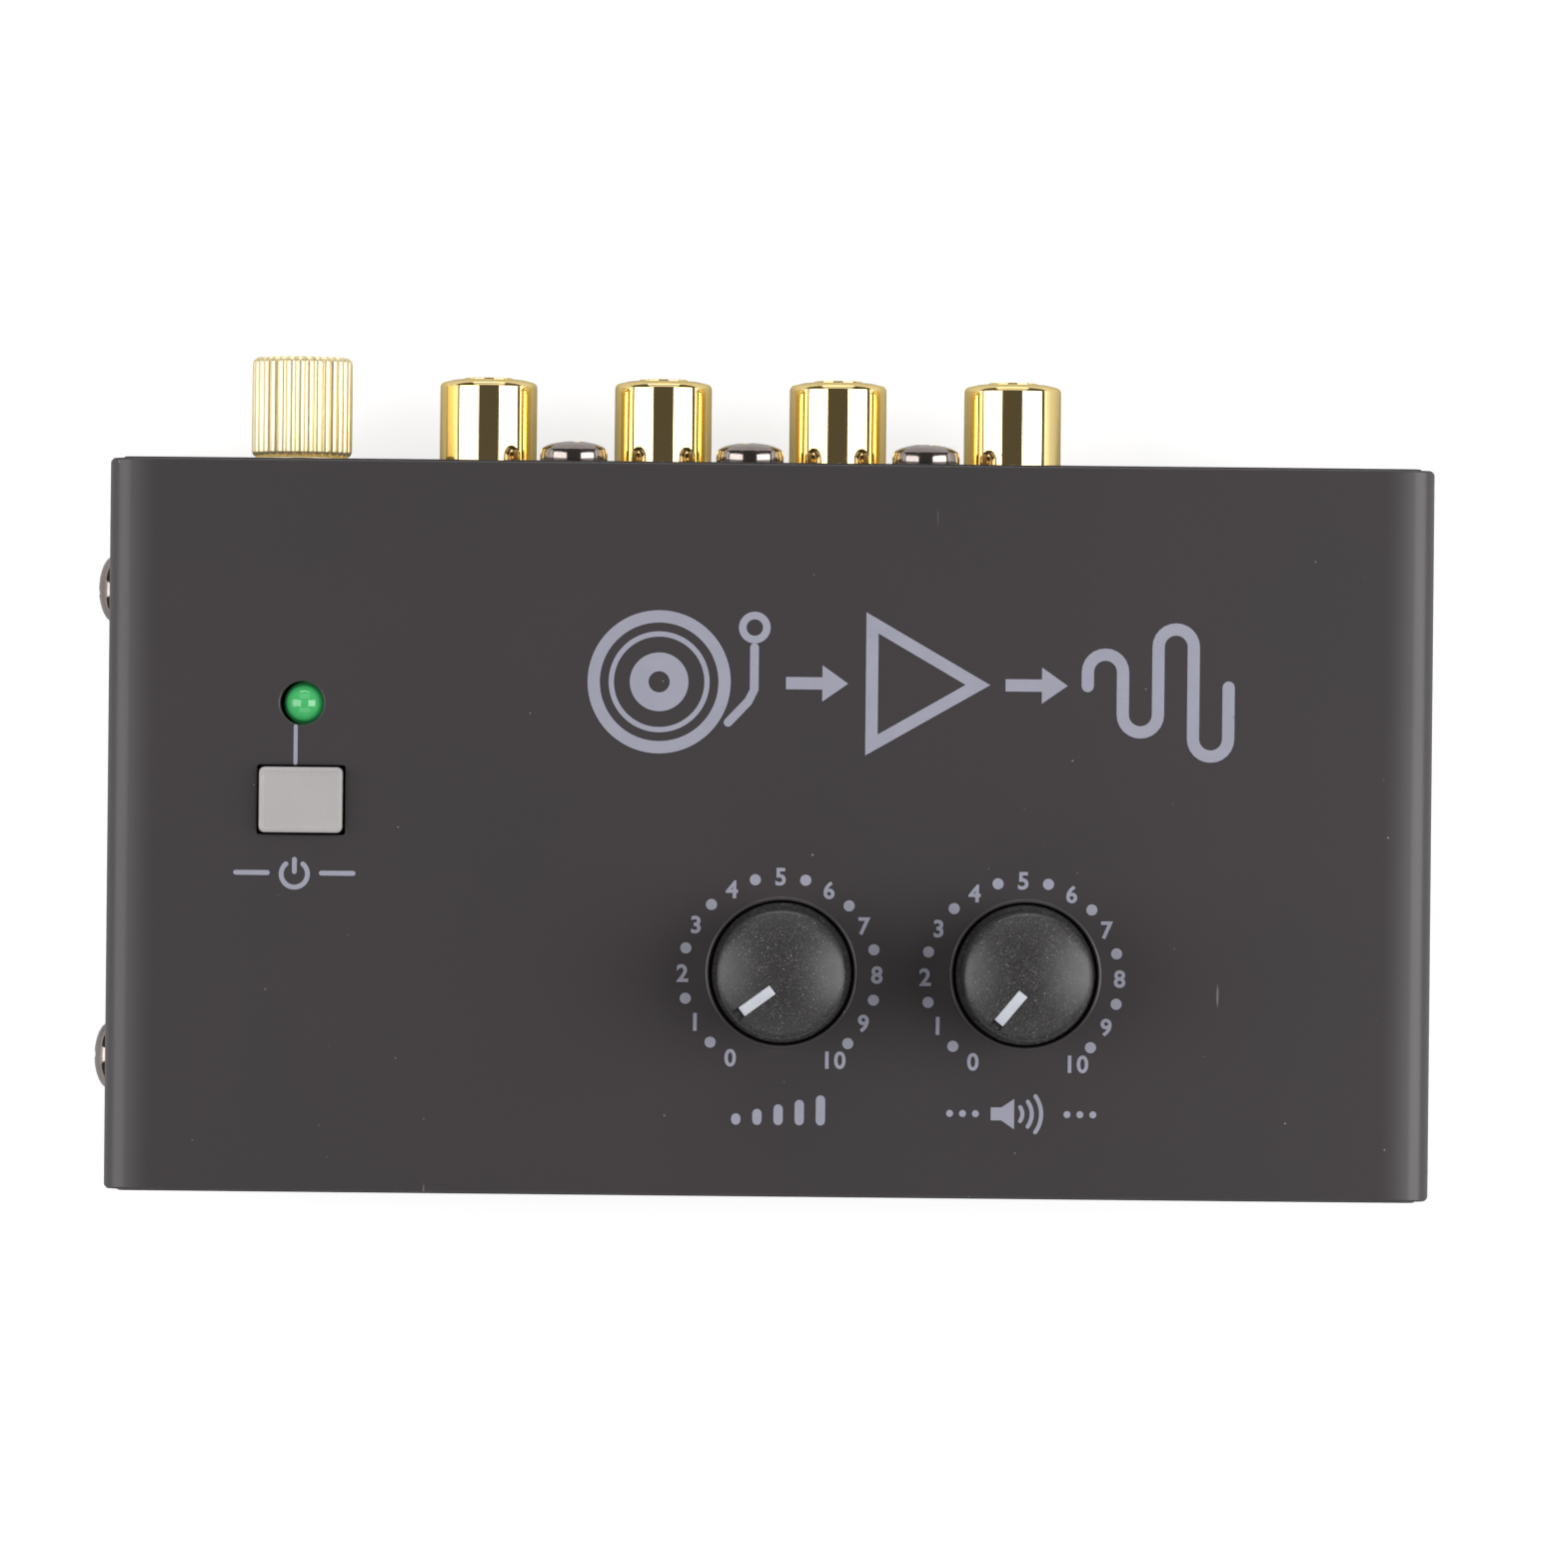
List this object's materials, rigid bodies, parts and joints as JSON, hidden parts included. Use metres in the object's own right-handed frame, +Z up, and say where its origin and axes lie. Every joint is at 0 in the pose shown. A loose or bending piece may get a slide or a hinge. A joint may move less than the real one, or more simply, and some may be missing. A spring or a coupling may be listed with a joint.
{
  "type": "phono preamp",
  "caption": "Small steel box with a row of gold phono sockets and a knurled earth nut behind, and dials with numbered scales, a square power button and a green lamp on top.",
  "frame": {"origin": "middle of the whole outline in plan, screw heads and sockets included, on the plane that the feet stand on", "axes": "+Z up, +Y to the rear panel with the sockets, +X to the right seen from the front"},
  "size_m": [0.1152, 0.0716, 0.04],
  "materials": {
    "case_paint": "fine satin powder coat, dark warm grey",
    "rubber": "matt",
    "board_green": "solder resist",
    "bright_metal": "tinned or nickel plated",
    "screw_nickel": "bright nickel",
    "gold_plate": "polished gold plate",
    "red_plastic": "moulded",
    "white_plastic": "moulded",
    "black_plastic": "moulded",
    "pot_metal": "stamped can",
    "knob_plastic": "satin moulded",
    "pointer_white": "paint-filled",
    "button_grey": "satin moulded",
    "lamp_green": "tinted epoxy",
    "capacitor_sleeve": "shrink sleeve",
    "film_red": "dipped case",
    "resistor_blue": "lacquered",
    "sink_black": "anodised"
  },
  "bodies": {
    "case": {"cover": "case_paint", "base_tray": "case_paint", "foot_front_left": "rubber", "foot_front_right": "rubber", "foot_rear_left": "rubber", "foot_rear_right": "rubber", "circuit_board": "board_green", "pillars": "bright_metal", "board_screws": "screw_nickel", "cover_screw_front": "screw_nickel", "cover_screw_rear": "screw_nickel", "panel_screw_left": "screw_nickel", "panel_screw_middle": "screw_nickel", "panel_screw_right": "screw_nickel", "socket_block": "black_plastic", "socket_shell_1": "gold_plate", "socket_shell_2": "gold_plate", "socket_shell_3": "gold_plate", "socket_shell_4": "gold_plate", "socket_insulator_1": "red_plastic", "socket_insulator_2": "white_plastic", "socket_insulator_3": "red_plastic", "socket_insulator_4": "white_plastic", "socket_contact_1": "gold_plate", "socket_contact_2": "gold_plate", "socket_contact_3": "gold_plate", "socket_contact_4": "gold_plate", "earth_bolt": "gold_plate", "earth_lug": "bright_metal", "inlet_body": "black_plastic", "inlet_pin": "bright_metal", "inlet_contact": "bright_metal", "output_body": "black_plastic", "output_contacts": "bright_metal", "level_pot": "pot_metal", "volume_pot": "pot_metal", "switch_case": "black_plastic", "switch_spring": "bright_metal", "lamp_lens": "lamp_green", "lamp_leads": "bright_metal", "amplifier_chips": "black_plastic", "small_capacitors": "capacitor_sleeve", "large_capacitors": "capacitor_sleeve", "film_capacitors": "film_red", "resistors": "resistor_blue", "regulator": "black_plastic", "heat_sink": "sink_black"},
    "level_dial": {"level_knob": "knob_plastic", "level_pointer": "pointer_white", "level_shaft": "bright_metal"},
    "volume_dial": {"volume_knob": "knob_plastic", "volume_pointer": "pointer_white", "volume_shaft": "bright_metal"},
    "power_button": {"button_cap": "button_grey", "switch_plunger": "button_grey"},
    "earth_clamp": {"earth_washer": "gold_plate"},
    "earth_thumb_nut": {"earth_nut": "gold_plate"}
  },
  "joints": [
    {"name": "level_dial_turn", "type": "hinge", "parent": "case", "child": "level_dial", "pos_m": [0.00226, -0.01672, 0.04], "axis": [0, 0, 1], "range_deg": [-276.6, 23.4]},
    {"name": "volume_dial_turn", "type": "hinge", "parent": "case", "child": "volume_dial", "pos_m": [0.02304, -0.01672, 0.04], "axis": [0, 0, 1], "range_deg": [-290.7, 9.3]},
    {"name": "power_button_press", "type": "slide", "parent": "case", "child": "power_button", "axis": [0, 0, -1], "range_m": [0, 0.0025], "stiffness_N_per_m": 400, "springref_m": -0.0015, "deforming": ["switch_spring"]},
    {"name": "earth_clamp_slide", "type": "slide", "parent": "case", "child": "earth_clamp", "axis": [0, 1, 0], "range_m": [0, 0.0028]},
    {"name": "earth_nut_turn", "type": "hinge", "parent": "earth_clamp", "child": "earth_thumb_nut", "pos_m": [-0.03974, 0.03585, 0.016], "axis": [0, 1, 0], "range_deg": [0, 1441]}
  ],
  "couplings": [
    {"joint": "earth_nut_turn", "follows": "earth_clamp_slide", "rad_per_m": 8976}
  ]
}
